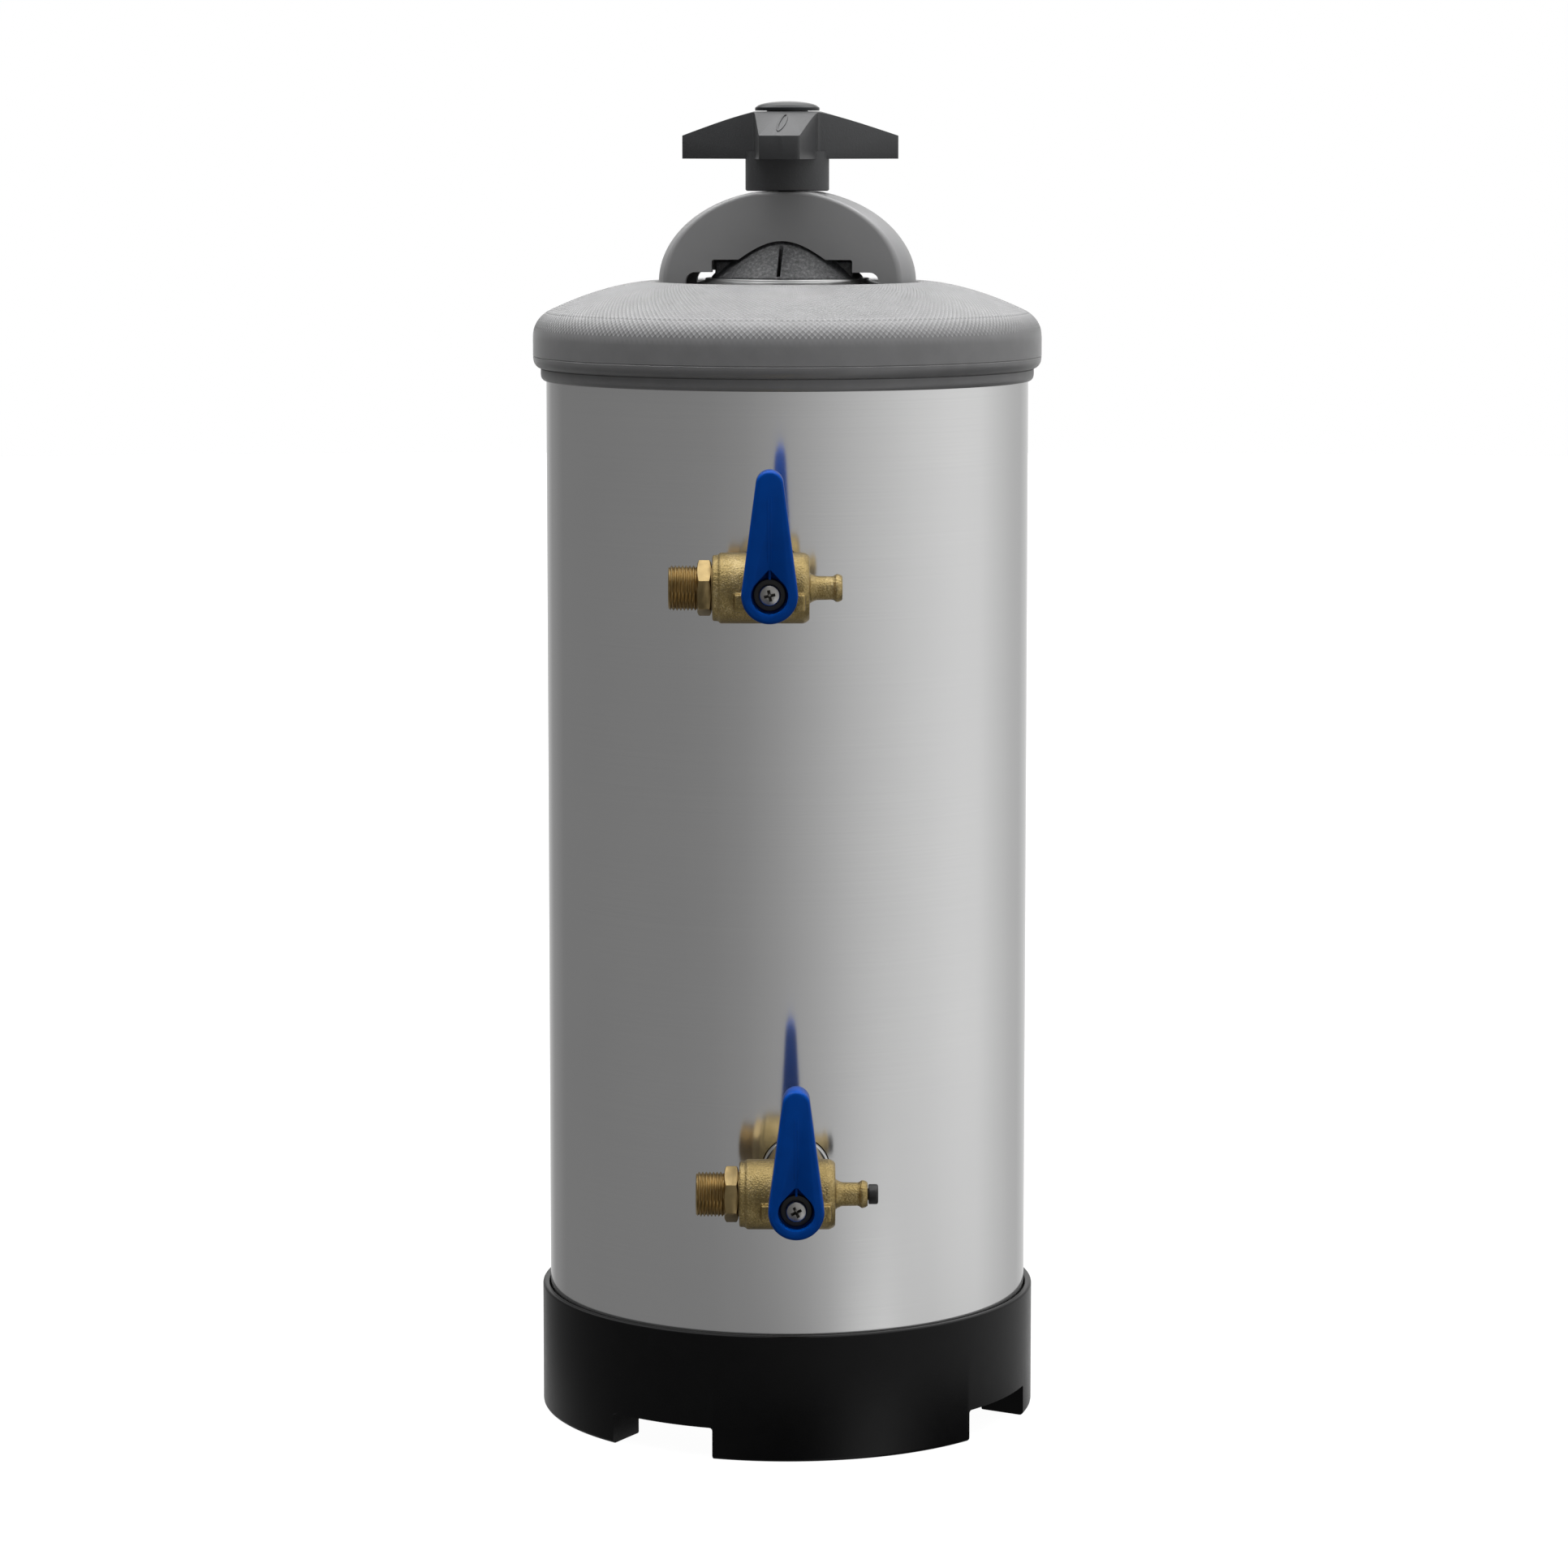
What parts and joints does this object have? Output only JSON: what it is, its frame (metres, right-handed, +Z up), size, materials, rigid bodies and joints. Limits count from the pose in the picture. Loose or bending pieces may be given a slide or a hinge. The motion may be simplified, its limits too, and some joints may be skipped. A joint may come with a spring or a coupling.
{
  "type": "manual water softener",
  "caption": "Upright steel resin tank in a notched foot, with a knob-clamped lid under a bridge and lever-worked ball valves.",
  "frame": {"origin": "centre of the bounding box's bottom face, on the floor; the tank's own axis stands 34.9 mm behind it", "axes": "+Z up along the tank; the valves face -Y; +X to the right seen from the front"},
  "size_m": [0.2004, 0.2702, 0.5195],
  "materials": {
    "black_base": "satin moulded polypropylene",
    "satin_steel": "satin, brushed round the tank",
    "polished_steel": "polished",
    "grey_cover": "fine knurl on the top, satin below",
    "grey_bridge": "satin moulded",
    "black_lid": "glass-filled nylon, mottled",
    "black_knob": "satin moulded, polished cap",
    "black_rubber": "moulded rubber",
    "blue_lever": "semi-gloss moulded nylon",
    "cast_brass": "as cast, blasted",
    "turned_brass": "machined",
    "screw_steel": "bright",
    "seal_white": "smooth",
    "resin": "packed beads"
  },
  "bodies": {
    "root": {"base_foot": "black_base", "tank_shell": "satin_steel", "tank_top_dome": "satin_steel", "tank_bottom_dome": "satin_steel", "neck_ring": "polished_steel", "resin_bed": "resin", "top_cover": "grey_cover", "upper_valve_body": "cast_brass", "upper_end_nipple": "turned_brass", "upper_seat_left": "seal_white", "upper_seat_right": "seal_white", "upper_stem_seal": "black_rubber", "upper_gland_nut": "turned_brass", "upper_union_nut": "turned_brass", "upper_port_gasket": "black_rubber", "upper_port_boss": "satin_steel", "upper_strainer": "seal_white", "lower_valve_body": "cast_brass", "lower_end_nipple": "turned_brass", "lower_seat_left": "seal_white", "lower_seat_right": "seal_white", "lower_stem_seal": "black_rubber", "lower_gland_nut": "turned_brass", "lower_union_nut": "turned_brass", "lower_port_gasket": "black_rubber", "lower_port_boss": "satin_steel", "lower_strainer": "seal_white"},
    "lid": {"lid": "black_lid", "lid_gasket": "black_rubber", "lid_stud": "screw_steel"},
    "bridge": {"bridge": "grey_bridge", "bridge_pad_left": "black_rubber", "bridge_pad_right": "black_rubber"},
    "knob": {"knob": "black_knob", "knob_insert": "turned_brass", "knob_cap": "black_knob"},
    "upper_lever": {"upper_lever": "blue_lever", "upper_lever_washer": "black_rubber", "upper_lever_screw": "screw_steel", "upper_stem": "turned_brass", "upper_ball": "polished_steel"},
    "lower_lever": {"lower_lever": "blue_lever", "lower_lever_washer": "black_rubber", "lower_lever_screw": "screw_steel", "lower_stem": "turned_brass", "lower_ball": "polished_steel"},
    "drain_plug": {"lower_drain_plug": "black_rubber"}
  },
  "joints": [
    {"name": "knob_turn", "type": "hinge", "parent": "bridge", "child": "knob", "pos_m": [0, 0.0349, 0.506], "axis": [0, 0, 1], "range_deg": [0, 1440]},
    {"name": "lid_drop", "type": "slide", "parent": "root", "child": "lid", "axis": [0, 0, 1], "range_m": [-0.0121, 0]},
    {"name": "bridge_lift", "type": "slide", "parent": "root", "child": "bridge", "axis": [0, 0, 1], "range_m": [0, 0.08]},
    {"name": "upper_lever_turn", "type": "hinge", "parent": "root", "child": "upper_lever", "pos_m": [-0.0065, -0.1021, 0.3404], "axis": [0, 1, 0], "range_deg": [-90, 90]},
    {"name": "lower_lever_turn", "type": "hinge", "parent": "root", "child": "lower_lever", "pos_m": [0.0032, -0.1021, 0.1134], "axis": [0, 1, 0], "range_deg": [-90, 90]},
    {"name": "drain_plug_pull", "type": "slide", "parent": "root", "child": "drain_plug", "axis": [1, 0, 0], "range_m": [0, 0.02]}
  ],
  "couplings": [
    {"joint": "lid_drop", "follows": "knob_turn", "m_per_rad": -0.00047746}
  ]
}
